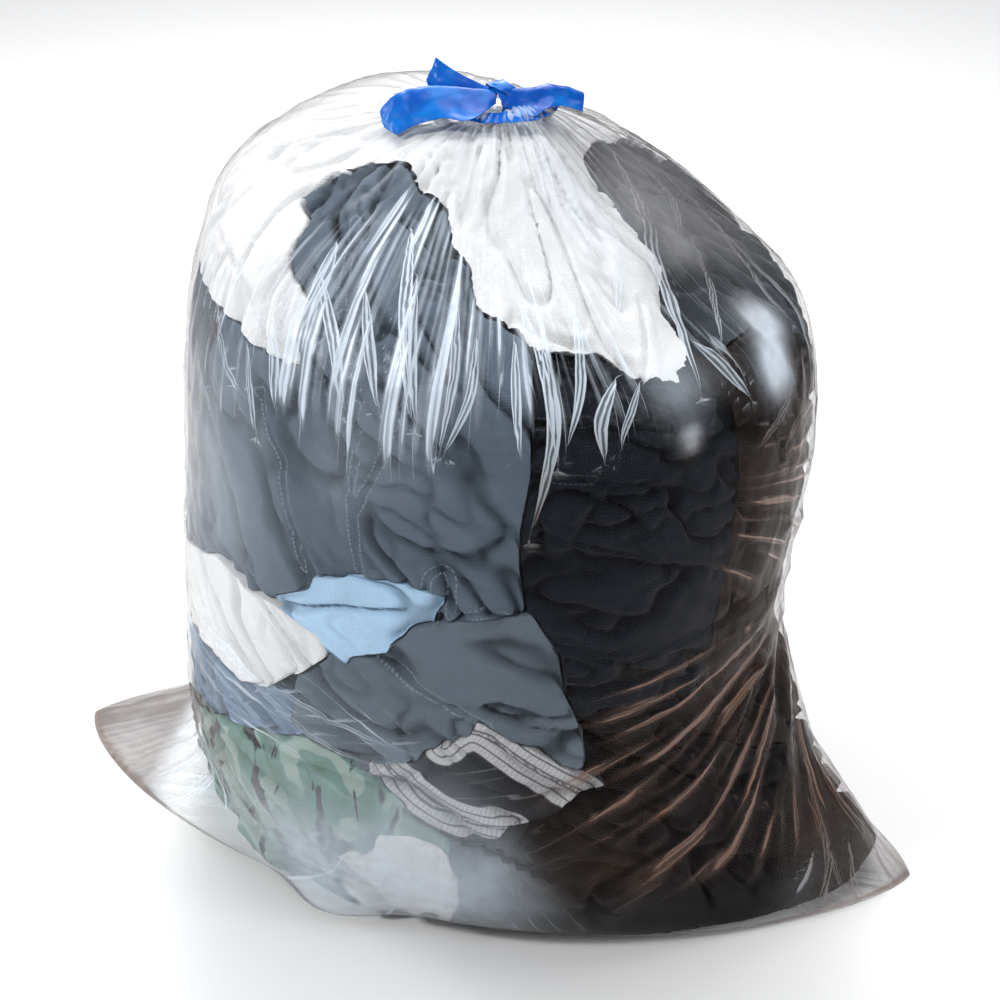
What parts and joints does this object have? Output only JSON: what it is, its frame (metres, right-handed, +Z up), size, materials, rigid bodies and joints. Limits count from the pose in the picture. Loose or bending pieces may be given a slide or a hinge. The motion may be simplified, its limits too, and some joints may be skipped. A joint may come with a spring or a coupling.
{
  "type": "full bin bag",
  "caption": "Clear plastic drawstring bin bag standing upright, packed with crumpled clothes and tied shut at the top with its blue tape.",
  "frame": {"origin": "centre of the bag's flat base, on the floor, under the tied neck", "axes": "+Z up; X along the bottom seam, from one bottom corner to the other; -Y is the front, the side seen in use"},
  "size_m": [0.721, 0.472, 0.6313],
  "materials": {
    "clear_film": "clear polyethylene film, glossy, creased, slightly hazy",
    "blue_tape": "blue polyethylene drawtape, glossy, crumpled",
    "white_shirting": "white cotton, soft, crumpled",
    "white_jersey": "white cotton jersey, worn",
    "off_white_cotton": "off-white cotton, grubby",
    "slate_twill": "slate blue-grey twill, topstitched",
    "navy_twill": "dark navy twill",
    "light_blue_cotton": "light blue cotton",
    "striped_rib": "black knit with pale grey striped bands",
    "charcoal_knit": "charcoal sweatshirt jersey",
    "washed_denim": "washed blue denim",
    "camouflage_print": "grey-green camouflage print cotton",
    "brown_fleece": "dark brown fleece",
    "grey_fleece": "dark grey fleece",
    "black_cotton": "black cotton",
    "marl_jersey": "grey marl jersey",
    "green_jersey": "dark green jersey",
    "beige_knit": "beige ribbed knit",
    "olive_twill": "olive twill",
    "towelling": "sand-coloured towelling",
    "chambray": "blue chambray",
    "maroon_knit": "maroon knit",
    "bed_linen": "plain bed linen"
  },
  "bodies": {
    "root": {"bag_film": "clear_film", "drawtape_front": "blue_tape", "drawtape_rear": "blue_tape", "white_shirt": "white_shirting", "white_tshirt": "white_jersey", "white_cloth": "off_white_cotton", "slate_jacket": "slate_twill", "navy_trousers": "navy_twill", "light_blue_shirt": "light_blue_cotton", "striped_knit": "striped_rib", "charcoal_sweater": "charcoal_knit", "denim_jeans": "washed_denim", "camouflage_trousers": "camouflage_print", "brown_fleece": "brown_fleece", "grey_hoodie": "grey_fleece", "black_trousers": "black_cotton", "marl_sweatshirt": "marl_jersey", "green_tshirt": "green_jersey", "beige_jumper": "beige_knit", "olive_trousers": "olive_twill", "folded_towel": "towelling", "folded_shirts": "chambray", "rolled_jumper": "maroon_knit", "folded_bedding": "bed_linen"}
  },
  "joints": []
}
